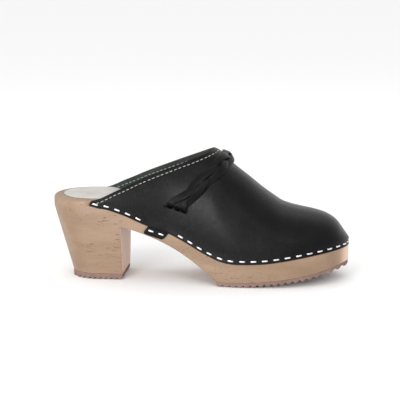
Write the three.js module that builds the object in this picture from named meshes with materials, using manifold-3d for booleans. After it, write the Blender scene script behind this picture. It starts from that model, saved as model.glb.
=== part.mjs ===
// Heeled wooden clog for the right foot: a carved sole with rubber treads, a one-piece leather
// upper stapled into a rebate round the sole, and a plaited strap over the instep.
// Millimetres, +Z up, toe towards +X, outer (lateral) side towards -Y.
import * as THREE from 'three';
import { LoftGeometry } from 'three/addons/geometries/LoftGeometry.js';
import { mergeVertices } from 'three/addons/utils/BufferGeometryUtils.js';
import Module from 'manifold-3d';

const wasm = await Module();
wasm.setup();

// ---------- driving dimensions ----------
// wooden sole, seen from above
const soleLength = 250;        // back of the heel seat to the toe
const seatHalfWidth = 31.5;    // heel seat, each side of the long axis
const waistOuter = 29.5;       // narrowest place, outer side
const waistInner = 27;         // narrowest place, inner side
const ballOuter = 44;          // widest place, outer side
const ballInner = 42;          // widest place, inner side
const toeSwing = 8;            // how far the toe end leans to the inner side
const toeRoundLength = 68;     // length over which the toe rounds off
const toeFullness = 2.1;       // 2 is an ellipse, more is squarer

// wooden sole, seen from the side
const seatHeight = 70;         // ground to the top of the heel seat
const ballHeight = 27;         // ground to the footbed at the ball
const toeRise = 10;            // how much the footbed climbs from ball to toe
const toeSpring = 13;          // how much the underside climbs from ball to toe
const forefootRear = 141.5;    // rear corner of the forefoot's underside
const breastX = 61;            // front face of the heel
const shankUnderside = 47.6;   // underside of the sole where it meets the heel
const archCrown = [106, 36];   // point that pulls the arch curve upwards
const heelUndercut = 17;       // how far the back of the heel leans forward
const heelBackHeight = 61;     // the back of the heel is upright above this
const heelFootHalfWidth = 22;  // half the width of the heel at the ground
const heelFlareHeight = 52;    // the heel reaches its full width here
const seatRimRadius = 3;       // rounded edge round the seat

// treads
const treadThickness = 4;
const liftThickness = 5;
const ridgeDepth = 1.8;
const ridgeLand = 1.2;         // flat on the tip of each ridge
const treadRidgePitch = 5.8;
const liftRidgePitch = 4.7;

// leather
const upperThickness = 1.8;
const lipHeight = 7.5;         // how far the upper reaches down the side of the sole
const lipStraight = 2;         // upright part of the lip above its lower edge
const upperFullness = 2.15;    // 2 is an elliptical vamp section, more is boxier
const tipX = 35;               // rear end of the upper on each side
const tipRadius = 2.2;
const tipRise = 2;             // how much the lower edge climbs towards the tip
const tipRiseLength = 10;
const throatX = 137;           // front of the foot opening
const throatHeight = 110;
const facingWidth = 9;
const facingThickness = 1;
const puffThickness = 1.2;
const puffStart = 208;

// plaited strap
const strapThickness = 1.2;
const strapEdgeThinning = 0.15; // share of its thickness that it loses at its edges
const strandWidth = 5.2;
const strandEndWidth = 4.4;
const plaitSway = 3.7;          // how far a strand swings to each side
const plaitLift = 1.5;       // how far a strand rises and dips where they cross
const plaitTurns = 2;          // full periods from slit to slit
const plaitClear = 2.2;        // middle of the plait above the leather
const slitPoint = [107.9, 64]; // where the strap enters the upper, seen from the side
const strapTopPoint = [149, 104];
const slitLength = 8.8;
const slitShift = 1.5;         // the slot's middle lies this far up the strap from slitPoint
const tailWidth = 16.8;
const tailLean = 50.5;         // degrees from level, below the slit
const tabDrop = 7;             // how far the tail's end shows below the upper

// staples and label
const stapleCrown = 5;
const stapleWire = 1.3;
const stapleGauge = 0.7;
const stapleLeg = 5.5;
const stapleAboveEdge = 2.9;
const outerStaplePitch = 9.45;
const innerStaplePitch = 12;
const firstStaple = 5.2;       // from the rear tip of the upper to the first staple
const labelThickness = 0.6;
const labelMargin = 5.5;
const labelSetback = 3;        // further from the back of the seat than from its sides
const labelFront = 88;

// fits
const gap = 0.3;               // between pieces that touch
const beyond = 12;             // how far cutting shapes run past what they cut

// ---------- smooth lines through a few points ----------
function smoothLine(points) {
  const slopes = points.map((p, i) => {
    if (i === 0 || i === points.length - 1) return 0;
    const before = (p[1] - points[i - 1][1]) / (p[0] - points[i - 1][0]);
    const after = (points[i + 1][1] - p[1]) / (points[i + 1][0] - p[0]);
    return before * after <= 0 ? 0 : 2 * before * after / (before + after);
  });
  return (x) => {
    const last = points.length - 1;
    if (x <= points[0][0]) return points[0][1];
    if (x >= points[last][0]) return points[last][1];
    const i = points.findIndex((p) => p[0] > x) - 1;
    const span = points[i + 1][0] - points[i][0];
    const t = (x - points[i][0]) / span;
    const rise = points[i + 1][1] - points[i][1];
    const bend = t * t * (3 - 2 * t);
    const lead = span * slopes[i] * t * (1 - t) * (1 - t);
    const tail = span * slopes[i + 1] * t * t * (1 - t);
    return points[i][1] + rise * bend + lead - tail;
  };
}

function ease(from, to, value) {
  return THREE.MathUtils.smoothstep(value, from, to);
}

// ---------- the sole's plan ----------
const swing = smoothLine([[0.3 * soleLength, 0], [soleLength, toeSwing]]);
const outerLine = smoothLine([
  [0, seatHalfWidth], [0.24 * soleLength, seatHalfWidth - 0.5], [0.38 * soleLength, waistOuter],
  [0.64 * soleLength, ballOuter - 1], [0.72 * soleLength, ballOuter],
]);
const innerLine = smoothLine([
  [0, seatHalfWidth], [0.24 * soleLength, seatHalfWidth - 1], [0.4 * soleLength, waistInner],
  [0.66 * soleLength, ballInner - 1], [0.74 * soleLength, ballInner],
]);

// rounds both ends of the plan: 0 at the ends, 1 along the middle
function endRounding(x) {
  const fromBack = Math.min(x / seatHalfWidth, 1);
  const back = Math.sqrt(Math.max(0, 1 - (1 - fromBack) ** 2));
  const fromBall = Math.max(0, (x - (soleLength - toeRoundLength)) / toeRoundLength);
  const toe = Math.max(0, 1 - fromBall ** toeFullness) ** (1 / toeFullness);
  return back * toe;
}

function outerEdge(x) {
  return swing(x) - outerLine(x) * endRounding(x);
}

function innerEdge(x) {
  return swing(x) + innerLine(x) * endRounding(x);
}

// stations crowd towards rounded ends, so that the rounding stays smooth
function stations(from, to, count, crowdFrom, crowdTo) {
  const list = [];
  for (let i = 0; i <= count; i++) {
    let t = i / count;
    if (crowdFrom && crowdTo) t = (1 - Math.cos(Math.PI * t)) / 2;
    else if (crowdTo) t = Math.sin(Math.PI * t / 2);
    else if (crowdFrom) t = 1 - Math.cos(Math.PI * t / 2);
    list.push(from + (to - from) * t);
  }
  return list;
}

// the plan between two stations, going round anticlockwise, moved inwards by inset
function planOutline(from, to, count, inset, crowdFrom, crowdTo) {
  const xs = stations(from, to, count, crowdFrom, crowdTo);
  const loop = xs.map((x) => new THREE.Vector2(x, outerEdge(x)));
  for (const x of xs.reverse()) {
    const point = new THREE.Vector2(x, innerEdge(x));
    if (point.distanceTo(loop[loop.length - 1]) > 0.01) loop.push(point);
  }
  if (loop[0].distanceTo(loop[loop.length - 1]) < 0.01) loop.pop();
  return loop.map((point, i) => {
    const before = loop[(i + loop.length - 1) % loop.length];
    const after = loop[(i + 1) % loop.length];
    const along = after.clone().sub(before).normalize();
    return new THREE.Vector2(point.x - along.y * inset, point.y + along.x * inset);
  });
}

// ---------- the sole's side lines ----------
const heelToBall = smoothLine([
  [0.176 * soleLength, 1], [0.244 * soleLength, 0.9], [0.333 * soleLength, 0.677],
  [0.393 * soleLength, 0.56], [0.461 * soleLength, 0.372], [0.529 * soleLength, 0.163],
  [0.594 * soleLength, 0.023], [0.63 * soleLength, 0],
]);
const ballToToe = smoothLine([
  [0.66 * soleLength, 0], [0.72 * soleLength, 0.07], [0.782 * soleLength, 0.27],
  [0.922 * soleLength, 0.8], [soleLength, 1],
]);
const springLine = smoothLine([
  [0.64 * soleLength, 0], [0.74 * soleLength, 0.13], [0.802 * soleLength, 0.26],
  [0.876 * soleLength, 0.49], [0.94 * soleLength, 0.78], [soleLength, 1],
]);

function footbed(x) {
  return ballHeight + (seatHeight - ballHeight) * heelToBall(x) + toeRise * ballToToe(x);
}

function ledge(x) {
  return footbed(x) - lipHeight + tipRise * (1 - ease(tipX, tipX + tipRiseLength, x));
}

function forefootUnderside(x) {
  return treadThickness + toeSpring * springLine(x);
}

// ---------- the shape that the upper follows ----------
// ridge line of the upper; behind the throat it goes on upwards as the missing instep would
const ridge = smoothLine([
  [0.1 * soleLength, 88], [0.24 * soleLength, 97], [0.34 * soleLength, 106.5],
  [0.45 * soleLength, 112.5], [0.5 * soleLength, 112.4], [throatX, throatHeight],
  [throatX + 17, throatHeight - 15], [throatX + 29, throatHeight - 24.6],
  [throatX + 39.8, throatHeight - 33.6], [throatX + 48.8, throatHeight - 40.2],
  [0.776 * soleLength, 64.4], [0.824 * soleLength, 60.8], [0.867 * soleLength, 58.6],
  [0.908 * soleLength, 56], [0.94 * soleLength, 52.3], [0.96 * soleLength, 48.2],
  [0.978 * soleLength, 42.2], [0.991 * soleLength, 37.6], [soleLength, 35],
]);
const toeFlat = 0.1;           // the sections stop this far short of the toe tip
const lipShare = 0.12;         // share of a section's run that each upright lip takes

// a point on the shape: x along the sole, turn 0 at the inner side's foot, 1 at the outer side's
function shapePoint(x, turn) {
  const inner = turn < 0.5;
  const share = inner ? turn : 1 - turn;
  const edge = inner ? innerEdge(x) : outerEdge(x);
  const foot = ledge(x) - beyond;
  const spring = ledge(x) + lipStraight;
  if (share <= lipShare) {
    return new THREE.Vector3(x, edge, foot + (spring - foot) * share / lipShare);
  }
  const angle = Math.PI / 2 * (share - lipShare) / (0.5 - lipShare);
  const middle = swing(x);
  const power = 2 / upperFullness;
  const height = Math.max(ridge(x) - spring, 1);
  return new THREE.Vector3(x, middle + (edge - middle) * Math.cos(angle) ** power,
    spring + height * Math.sin(angle) ** power);
}

function shapeNormal(x, turn) {
  const step = 0.02;
  const alongX = shapePoint(Math.min(x + step, soleLength), turn).sub(shapePoint(x - step, turn));
  const round = shapePoint(x, Math.min(turn + 0.002, 1)).sub(shapePoint(x, Math.max(turn - 0.002, 0)));
  return round.cross(alongX).normalize();
}

function offsetPoint(x, turn, offset) {
  return shapePoint(x, turn).addScaledVector(shapeNormal(x, turn), offset);
}

// sections near the toe tip follow each other ever closer, so the toe closes roundly
const upperStations = 30;
const upperTurns = 24;

function shapeSolid(offset) {
  const rearX = tipX - 6 + (offset < 0 ? offset : 0);
  const sections = [];
  for (let i = 0; i <= upperStations; i++) {
    const t = i / upperStations;
    const crowd = 0.55 * t + 0.45 * Math.sin(Math.PI * t / 2);
    const x = rearX + (soleLength - toeFlat - rearX) * crowd;
    const section = [];
    for (let j = 0; j <= upperTurns; j++) section.push(offsetPoint(x, j / upperTurns, offset));
    sections.push(section);
  }
  const front = soleLength - toeFlat + offset;
  const reach = acrossShoe([
    new THREE.Vector2(-beyond, -beyond), new THREE.Vector2(front, -beyond),
    new THREE.Vector2(front, throatHeight + beyond), new THREE.Vector2(-beyond, throatHeight + beyond),
  ]);
  return solid(new LoftGeometry(sections, { capStart: true, capEnd: true })).intersect(reach);
}

// ---------- solids ----------
function solid(geometry) {
  const bare = new THREE.BufferGeometry();
  bare.setAttribute('position', geometry.getAttribute('position'));
  bare.setIndex(geometry.getIndex());
  const merged = mergeVertices(bare, 1e-4);
  return new wasm.Manifold(new wasm.Mesh({
    numProp: 3,
    vertProperties: merged.getAttribute('position').array,
    triVerts: new Uint32Array(merged.index.array),
  }));
}

// an outline in plan, standing between two heights
function plate(outline, bottom, top) {
  const geometry = new THREE.ExtrudeGeometry(new THREE.Shape(outline), {
    depth: top - bottom, bevelEnabled: false,
  });
  geometry.translate(0, 0, bottom);
  return solid(geometry);
}

// an outline seen from the side, running right across the shoe
const acrossWidth = 2 * (ballOuter + ballInner);

function acrossShoe(outline) {
  const geometry = new THREE.ExtrudeGeometry(new THREE.Shape(outline), {
    depth: acrossWidth, bevelEnabled: false,
  });
  geometry.rotateX(Math.PI / 2);
  geometry.translate(0, acrossWidth / 2, 0);
  return solid(geometry);
}

function along(from, to, count, height) {
  return stations(from, to, count).map((x) => new THREE.Vector2(x, height(x)));
}

function addPiece(name, body, look) {
  const mesh = body.getMesh();
  const geometry = new THREE.BufferGeometry();
  geometry.setAttribute('position', new THREE.BufferAttribute(mesh.vertProperties, 3));
  geometry.setIndex(new THREE.BufferAttribute(mesh.triVerts, 1));
  geometry.computeVertexNormals();
  const piece = new THREE.Mesh(geometry, look);
  piece.name = name;
  shoe.add(piece);
}

// ---------- looks ----------
const wood = new THREE.MeshStandardMaterial({ color: 0xcfae86, roughness: 0.65, metalness: 0 });
const rubber = new THREE.MeshStandardMaterial({ color: 0x80665c, roughness: 0.85, metalness: 0 });
const leather = new THREE.MeshStandardMaterial({ color: 0x202124, roughness: 0.42, metalness: 0 });
const lining = new THREE.MeshStandardMaterial({ color: 0x2c3634, roughness: 0.8, metalness: 0 });
const steel = new THREE.MeshStandardMaterial({ color: 0xc9cacc, roughness: 0.3, metalness: 1 });
const paper = new THREE.MeshStandardMaterial({ color: 0xdedbd4, roughness: 0.6, metalness: 0 });
const board = new THREE.MeshStandardMaterial({ color: 0x6d675c, roughness: 0.7, metalness: 0 });

const shoe = new THREE.Group();

// ---------- sole block ----------
const outerShape = shapeSolid(gap);
const innerShape = shapeSolid(gap - upperThickness);
const woodShape = shapeSolid(-upperThickness);

function heelSection(height, inset) {
  const lean = heelUndercut * Math.max(0, 1 - height / heelBackHeight);
  const flare = Math.min(1, (height - liftThickness) / (heelFlareHeight - liftThickness));
  const narrow = THREE.MathUtils.lerp(heelFootHalfWidth / seatHalfWidth, 1, flare);
  return planOutline(0, breastX, 16, inset, true, false).map((point) => new THREE.Vector3(
    lean + point.x * (breastX - lean) / breastX, point.y * narrow, height));
}

function makeSoleBlock() {
  const rimLow = seatHeight - seatRimRadius;
  const heel = solid(new LoftGeometry([
    heelSection(liftThickness, 0), heelSection(22, 0), heelSection(38, 0),
    heelSection(heelFlareHeight, 0), heelSection(heelBackHeight, 0), heelSection(rimLow, 0),
    heelSection(seatHeight - 0.29 * seatRimRadius, 0.29 * seatRimRadius),
    heelSection(seatHeight + 0.01, seatRimRadius),
  ], { capStart: true, capEnd: true }));
  const underHeel = acrossShoe([
    new THREE.Vector2(-beyond, -beyond), new THREE.Vector2(breastX, -beyond),
    new THREE.Vector2(breastX, heelFlareHeight), new THREE.Vector2(-beyond, heelFlareHeight),
  ]);
  const front = plate(planOutline(breastX - 1, soleLength, 34, 0, false, true), 0, seatHeight + 1)
    .subtract(underHeel);
  const arch = new THREE.QuadraticBezierCurve(
    new THREE.Vector2(forefootRear, treadThickness), new THREE.Vector2(...archCrown),
    new THREE.Vector2(breastX, shankUnderside));
  const side = acrossShoe([
    new THREE.Vector2(-beyond, liftThickness),
    new THREE.Vector2(-beyond, seatHeight),
    ...along(0.17 * soleLength, soleLength, 26, footbed),
    new THREE.Vector2(soleLength + beyond, footbed(soleLength)),
    new THREE.Vector2(soleLength + beyond, forefootUnderside(soleLength)),
    ...along(0.64 * soleLength, soleLength, 9, forefootUnderside).reverse(),
    ...arch.getPoints(12),
    new THREE.Vector2(breastX, liftThickness),
  ]);
  const rebate = acrossShoe([
    ...along(tipX - gap, soleLength, 30, ledge),
    new THREE.Vector2(soleLength + beyond, ledge(soleLength)),
    new THREE.Vector2(soleLength + beyond, seatHeight + beyond),
    new THREE.Vector2(tipX - gap, seatHeight + beyond),
  ]).subtract(woodShape);
  return heel.add(front).intersect(side).subtract(rebate);
}

// ---------- treads ----------
// a rubber slab whose underside is a row of ridges running across the shoe
function ridgedSlab(from, to, pitch, top, bottom) {
  const count = Math.round((to - from) / pitch);
  const step = (to - from) / count;
  const under = [];
  for (let i = 0; i < count; i++) {
    const middle = from + (i + 0.5) * step;
    under.push(new THREE.Vector2(from + i * step, bottom(from + i * step) + ridgeDepth));
    under.push(new THREE.Vector2(middle - ridgeLand / 2, bottom(middle)));
    under.push(new THREE.Vector2(middle + ridgeLand / 2, bottom(middle)));
  }
  under.push(new THREE.Vector2(to, bottom(to) + ridgeDepth));
  return acrossShoe([...under, ...along(from, to, 12, top).reverse()]);
}

function makeForefootTread() {
  const plan = planOutline(forefootRear + gap, soleLength, 20, gap, false, true);
  const slab = ridgedSlab(forefootRear, soleLength + beyond, treadRidgePitch,
    (x) => forefootUnderside(x) - gap, (x) => forefootUnderside(x) - treadThickness);
  return slab.intersect(plate(plan, -1, seatHeight));
}

function makeHeelLift() {
  const foot = heelSection(liftThickness, gap).map((point) => new THREE.Vector2(point.x, point.y));
  const slab = ridgedSlab(heelUndercut - liftRidgePitch / 2, breastX, liftRidgePitch,
    () => liftThickness - gap, () => 0);
  return slab.intersect(plate(foot, -1, liftThickness + 1));
}

// ---------- upper ----------
const topline = smoothLine([
  [tipX, 69.2], [0.236 * soleLength, 78], [0.31 * soleLength, 86.5], [0.42 * soleLength, 97.5],
  [0.5 * soleLength, 105], [throatX, throatHeight], [throatX + 14, throatHeight + 6],
]);

function belowTopline(drop, rearX, frontX) {
  return along(rearX, frontX, 16, (x) => topline(x) - drop);
}

function makeUpper() {
  const tipMiddle = ledge(tipX) + tipRadius + gap;
  const tipArc = new THREE.EllipseCurve(tipX + tipRadius, tipMiddle, tipRadius, tipRadius,
    Math.PI / 2, 3 * Math.PI / 2);
  const throatFront = throatX + 14;
  const side = acrossShoe([
    ...tipArc.getPoints(6),
    ...along(tipX + 1.3 * tipRadius, soleLength, 30, (x) => ledge(x) + gap),
    new THREE.Vector2(soleLength + beyond, ledge(soleLength) + gap),
    new THREE.Vector2(soleLength + beyond, throatHeight + beyond),
    new THREE.Vector2(throatFront, throatHeight + beyond),
    ...belowTopline(0, tipX + 2 * tipRadius, throatFront).reverse(),
  ]);
  return outerShape.subtract(innerShape).intersect(side);
}

function makeFacing() {
  const rearX = tipX + 12;
  const throatFront = throatX + 14;
  const band = acrossShoe([
    ...along(rearX, throatFront, 16, (x) => Math.max(topline(x) - facingWidth * 1.08, footbed(x) + gap)),
    ...belowTopline(1, rearX, throatFront).reverse(),
  ]);
  return woodShape.subtract(shapeSolid(-upperThickness - facingThickness)).intersect(band);
}

function makeToePuff() {
  const cap = acrossShoe([
    ...along(puffStart, soleLength, 8, (x) => footbed(x) + 4 * gap),
    new THREE.Vector2(soleLength, throatHeight),
    new THREE.Vector2(puffStart, throatHeight),
  ]);
  return woodShape.subtract(shapeSolid(-upperThickness - puffThickness)).intersect(cap);
}

// ---------- strap ----------
// the strap lies in planes that lean forward: where does such a plane cross the shape?
function onLeaningPlane(turn, lean, aside) {
  let low = tipX;
  let high = 0.84 * soleLength;
  for (let i = 0; i < 40; i++) {
    const x = (low + high) / 2;
    const rise = (shapePoint(x, turn).z - slitPoint[1]) * Math.cos(lean);
    const side = rise - (x - slitPoint[0]) * Math.sin(lean) - aside;
    if (side > 0) low = x;
    else high = x;
  }
  return (low + high) / 2;
}

const plaitLean = Math.atan2(strapTopPoint[1] - slitPoint[1], strapTopPoint[0] - slitPoint[0]);
const plaitRun = strapRun(plaitLean);

// length of the strap's path against turn, from the inner side over the top to the outer side
function strapRun(lean) {
  const run = [];
  let before = null;
  let length = 0;
  for (let i = 0; i <= 240; i++) {
    const turn = i / 240;
    const point = shapePoint(onLeaningPlane(turn, lean, 0), turn);
    if (before) length += point.distanceTo(before);
    run.push({ turn, length, height: point.z });
    before = point;
  }
  return run;
}

function turnAt(run, length) {
  const i = Math.min(Math.max(run.findIndex((r) => r.length >= length), 1), run.length - 1);
  const share = (length - run[i - 1].length) / (run[i].length - run[i - 1].length);
  return run[i - 1].turn + share * (run[i].turn - run[i - 1].turn);
}

function lengthAtHeight(run, height, outer) {
  const half = (run.length - 1) / 2;
  const side = run.filter((r, i) => (outer ? i >= half : i <= half));
  return side.reduce((best, r) => (
    Math.abs(r.height - height) < Math.abs(best.height - height) ? r : best)).length;
}

// a flat strip on the shape: its middle line's aside and height, and its width, at each length
function strip(run, lean, lengths, aside, width, lift, grow) {
  const sections = lengths.map((length) => {
    const turn = turnAt(run, length);
    const half = width(length) / 2 + grow;
    const middle = aside(length);
    const outward = [];
    const inward = [];
    for (const across of [-1, -0.35, 0.35, 1]) {
      const x = onLeaningPlane(turn, lean, middle + across * half);
      const point = shapePoint(x, turn);
      const normal = shapeNormal(x, turn);
      const level = lift(length, point);
      const thick = (strapThickness / 2 + grow) * (1 - strapEdgeThinning * across * across);
      outward.push(point.clone().addScaledVector(normal, level + thick));
      inward.unshift(point.clone().addScaledVector(normal, level - thick));
    }
    return [...outward, ...inward];
  });
  return solid(new LoftGeometry(sections, { capStart: true, capEnd: true }));
}

const innerSlit = lengthAtHeight(plaitRun, slitPoint[1], false);
const outerSlit = lengthAtHeight(plaitRun, slitPoint[1], true);
const insideLevel = gap - upperThickness - gap - strapThickness / 2;
const slitDive = 4;            // a strand goes on this far past the slit, inside the upper

function fromSlit(length) {
  return Math.min(length - innerSlit, outerSlit - length);
}

function strandSolid(index, grow) {
  const steps = 56;
  const lengths = stations(innerSlit - slitDive, outerSlit + slitDive, steps);
  const phase = (length) => 2 * Math.PI
    * (plaitTurns * (length - innerSlit) / (outerSlit - innerSlit) + index / 3);
  const settle = (length) => ease(0, 14, fromSlit(length));
  const endSway = (strandEndWidth + gap) / Math.sin(Math.PI / 3);
  const aside = (length) => {
    const held = THREE.MathUtils.clamp(length, innerSlit, outerSlit);
    return THREE.MathUtils.lerp(endSway, plaitSway, settle(length)) * Math.sin(phase(held));
  };
  const width = (length) => THREE.MathUtils.lerp(strandEndWidth, strandWidth, settle(length));
  const lift = (length) => {
    const level = THREE.MathUtils.lerp(insideLevel, plaitClear + gap, ease(-3, 9, fromSlit(length)));
    return level + plaitLift * settle(length) * Math.sin(2 * phase(length));
  };
  return strip(plaitRun, plaitLean, lengths, aside, width, lift, grow);
}

// the strap's flat end: down inside the upper, out under its lip and onto the side of the sole
const tailAngle = THREE.MathUtils.degToRad(tailLean);
const tailRun = strapRun(tailAngle);

function tailSolid(outer, grow) {
  const topDrop = slitDive + strapThickness + gap;
  const top = lengthAtHeight(tailRun, slitPoint[1] - topDrop * Math.sin(tailAngle), outer);
  const edgeX = slitPoint[0] - (slitPoint[1] - 46) / Math.tan(tailAngle);
  const end = lengthAtHeight(tailRun, ledge(edgeX) - tabDrop * Math.sin(tailAngle), outer);
  const lengths = stations(Math.min(top, end), Math.max(top, end), 14);
  const lift = (length, point) => {
    const out = gap + strapThickness / 2;
    return THREE.MathUtils.lerp(out, insideLevel, ease(-3.4, -0.4, point.z - ledge(point.x)));
  };
  return strip(tailRun, tailAngle, lengths, () => 0, () => tailWidth, lift, grow);
}

// the slot in the upper that the three strands go through
function slitSolid(outer) {
  const at = outer ? outerSlit : innerSlit;
  const lengths = stations(at - slitLength / 2, at + slitLength / 2, 2)
    .map((length) => length + (outer ? -1 : 1) * slitShift);
  const width = 3 * (strandEndWidth + gap) + 2 * gap;
  return strip(plaitRun, plaitLean, lengths, () => 0, () => width, () => 0, 2 * gap + upperThickness / 2);
}

// ---------- staples ----------
// along one side's lower edge between two stations, at even distances
function edgePlaces(outer, pitch, from, to) {
  const places = [];
  const turn = outer ? 1 : 0;
  const samples = stations(from, to, 700, false, true);
  const lines = samples.map((x) => {
    const point = shapePoint(x, turn);
    point.z = ledge(x) + stapleAboveEdge;
    return point;
  });
  let length = 0;
  let due = 0;
  for (let i = 1; i < lines.length; i++) {
    length += lines[i].distanceTo(lines[i - 1]);
    if (length < due) continue;
    const forward = lines[i].clone().sub(lines[i - 1]).normalize();
    places.push({ point: lines[i], forward, x: samples[i] });
    due += pitch;
  }
  return places;
}

// a flat-wire staple: the crown lies on the leather, both legs go through it into the wood
function stapleSolid(place, turn, level, grow) {
  const half = stapleCrown / 2 + grow;
  const thick = stapleGauge;
  const profile = new THREE.Shape([
    new THREE.Vector2(-half, grow), new THREE.Vector2(-half, -stapleLeg - grow),
    new THREE.Vector2(grow ? half : thick - half, -stapleLeg - grow),
    ...(grow ? [] : [new THREE.Vector2(thick - half, -thick), new THREE.Vector2(half - thick, -thick),
      new THREE.Vector2(half - thick, -stapleLeg)]),
    ...(grow ? [] : [new THREE.Vector2(half, -stapleLeg)]),
    new THREE.Vector2(half, grow),
  ]);
  const geometry = new THREE.ExtrudeGeometry(profile, {
    depth: stapleWire + 2 * grow, bevelEnabled: false,
  });
  geometry.translate(0, 0, -stapleWire / 2 - grow);
  const outward = shapeNormal(Math.min(place.x, soleLength - 0.1), turn);
  outward.addScaledVector(place.forward, -outward.dot(place.forward)).normalize();
  const across = place.forward.clone().cross(outward);
  const origin = place.point.clone().addScaledVector(outward, level);
  geometry.applyMatrix4(new THREE.Matrix4().makeBasis(place.forward, outward, across).setPosition(origin));
  return solid(geometry);
}

function tabPlaces(outer) {
  const places = [];
  for (const aside of [-0.24, 0.24]) {
    const length = lengthAtHeight(tailRun, ledge(slitPoint[0] - 15) - tabDrop * 0.3, outer);
    const turn = turnAt(tailRun, length);
    const at = (shift) => shapePoint(onLeaningPlane(turn, tailAngle, shift * tailWidth), turn);
    const forward = at(aside - 0.05).sub(at(aside + 0.05)).normalize();
    places.push({ point: at(aside), forward, x: at(aside).x, turn });
  }
  return places;
}

// ---------- insole label ----------
function makeLabel() {
  const sheet = acrossShoe([
    ...along(0, labelFront, 14, (x) => footbed(x) + gap),
    ...along(0, labelFront, 14, (x) => footbed(x) + gap + labelThickness).reverse(),
  ]);
  const outline = planOutline(0, 2 * labelFront, 24, labelMargin, true, false)
    .map((point) => new THREE.Vector2(point.x + labelSetback, point.y));
  return sheet.intersect(plate(outline, 0, throatHeight));
}

// ---------- assembly ----------
let soleBlock = makeSoleBlock();
let upper = makeUpper();
const staples = [];
for (const outer of [true, false]) {
  const sideName = outer ? 'outer' : 'inner';
  const covered = tabPlaces(outer);
  const tail = tailSolid(outer, 0);
  soleBlock = soleBlock.subtract(tailSolid(outer, gap));
  upper = upper.subtract(slitSolid(outer));
  const crossing = slitPoint[0] - (slitPoint[1] - ledge(covered[1].x)) / Math.tan(tailAngle);
  const pitch = outer ? outerStaplePitch : innerStaplePitch;
  const edge = [
    ...edgePlaces(outer, pitch, tipX + firstStaple, crossing - 0.6 * tailWidth),
    ...edgePlaces(outer, pitch, crossing + tailWidth, soleLength - 0.2),
  ];
  edge.forEach((place, i) => {
    const turn = outer ? 1 : 0;
    const level = 2 * gap + stapleGauge;
    const slot = stapleSolid(place, turn, level, gap);
    soleBlock = soleBlock.subtract(slot);
    upper = upper.subtract(slot);
    const name = `staple_${sideName}_${String(i + 1).padStart(2, '0')}`;
    staples.push({ name, body: stapleSolid(place, turn, level, 0) });
  });
  let tabbed = tail;
  covered.forEach((place, i) => {
    const level = 2 * gap + strapThickness + stapleGauge;
    const slot = stapleSolid(place, place.turn, level, gap);
    soleBlock = soleBlock.subtract(slot);
    tabbed = tabbed.subtract(slot);
    staples.push({
      name: `staple_strap_${sideName}_${i + 1}`,
      body: stapleSolid(place, place.turn, level, 0),
    });
  });
  addPiece(`strap_tail_${sideName}`, tabbed, leather);
}

addPiece('sole_block', soleBlock, wood);
addPiece('forefoot_tread', makeForefootTread(), rubber);
addPiece('heel_lift', makeHeelLift(), rubber);
addPiece('upper', upper, leather);
addPiece('topline_facing', makeFacing(), lining);
addPiece('toe_puff', makeToePuff(), board);
addPiece('insole_label', makeLabel(), paper);
for (let i = 0; i < 3; i++) {
  let strand = strandSolid(i, 0);
  for (let under = 0; under < i; under++) strand = strand.subtract(strandSolid(under, gap));
  addPiece(`strap_strand_${i + 1}`, strand, leather);
}
for (const staple of staples) addPiece(staple.name, staple.body, steel);

// the origin is the middle of the shoe's box, on the ground
const box = new THREE.Box3().setFromObject(shoe);
const middle = box.getCenter(new THREE.Vector3());
shoe.position.set(-middle.x, -middle.y, -box.min.z);
const clog = new THREE.Group();
clog.add(shoe);

export default clog;
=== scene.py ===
import math
import random
from bisect import bisect_right

import bmesh
import bpy
from mathutils import Matrix, Vector


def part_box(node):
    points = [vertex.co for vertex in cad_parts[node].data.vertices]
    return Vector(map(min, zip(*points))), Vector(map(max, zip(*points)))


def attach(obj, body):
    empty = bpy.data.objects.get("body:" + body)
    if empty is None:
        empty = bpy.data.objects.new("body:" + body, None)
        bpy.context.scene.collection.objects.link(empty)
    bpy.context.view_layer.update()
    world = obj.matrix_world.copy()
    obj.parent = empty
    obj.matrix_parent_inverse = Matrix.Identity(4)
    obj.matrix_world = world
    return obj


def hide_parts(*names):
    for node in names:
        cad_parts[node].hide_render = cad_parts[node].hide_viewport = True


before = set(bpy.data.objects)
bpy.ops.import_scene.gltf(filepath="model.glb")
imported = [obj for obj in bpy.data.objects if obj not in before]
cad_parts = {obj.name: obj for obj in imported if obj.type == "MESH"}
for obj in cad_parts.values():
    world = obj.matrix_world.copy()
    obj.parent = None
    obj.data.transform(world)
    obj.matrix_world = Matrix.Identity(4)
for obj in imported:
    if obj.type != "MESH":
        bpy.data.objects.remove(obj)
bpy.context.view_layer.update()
mm = 0.001
print("frame loaded:", len(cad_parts), "CAD nodes")


# small maths helpers, lengths in millimetres until a piece is finished
def smoothLine(points):
    # a smooth curve through points, level at both ends, that never overshoots
    xs = [p[0] for p in points]
    ys = [p[1] for p in points]
    last = len(points) - 1
    slopes = [0.0] * len(points)
    for i in range(1, last):
        before = (ys[i] - ys[i - 1]) / (xs[i] - xs[i - 1])
        after = (ys[i + 1] - ys[i]) / (xs[i + 1] - xs[i])
        slopes[i] = 0.0 if before * after <= 0 else 2 * before * after / (before + after)

    def line(x):
        if x <= xs[0]:
            return ys[0]
        if x >= xs[last]:
            return ys[last]
        i = bisect_right(xs, x) - 1
        span = xs[i + 1] - xs[i]
        t = (x - xs[i]) / span
        rise = (ys[i + 1] - ys[i]) * t * t * (3 - 2 * t)
        lead = span * slopes[i] * t * (1 - t) * (1 - t)
        tail = span * slopes[i + 1] * t * t * (1 - t)
        return ys[i] + rise + lead - tail

    return line


def clamp(value, low=0.0, high=1.0):
    return min(max(value, low), high)


def ease(low, high, value):
    t = clamp((value - low) / (high - low))
    return t * t * (3 - 2 * t)


def lerp(a, b, t):
    return a + (b - a) * t


def bump(value, middle, width):
    return math.exp(-((value - middle) / width) ** 2)


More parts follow.
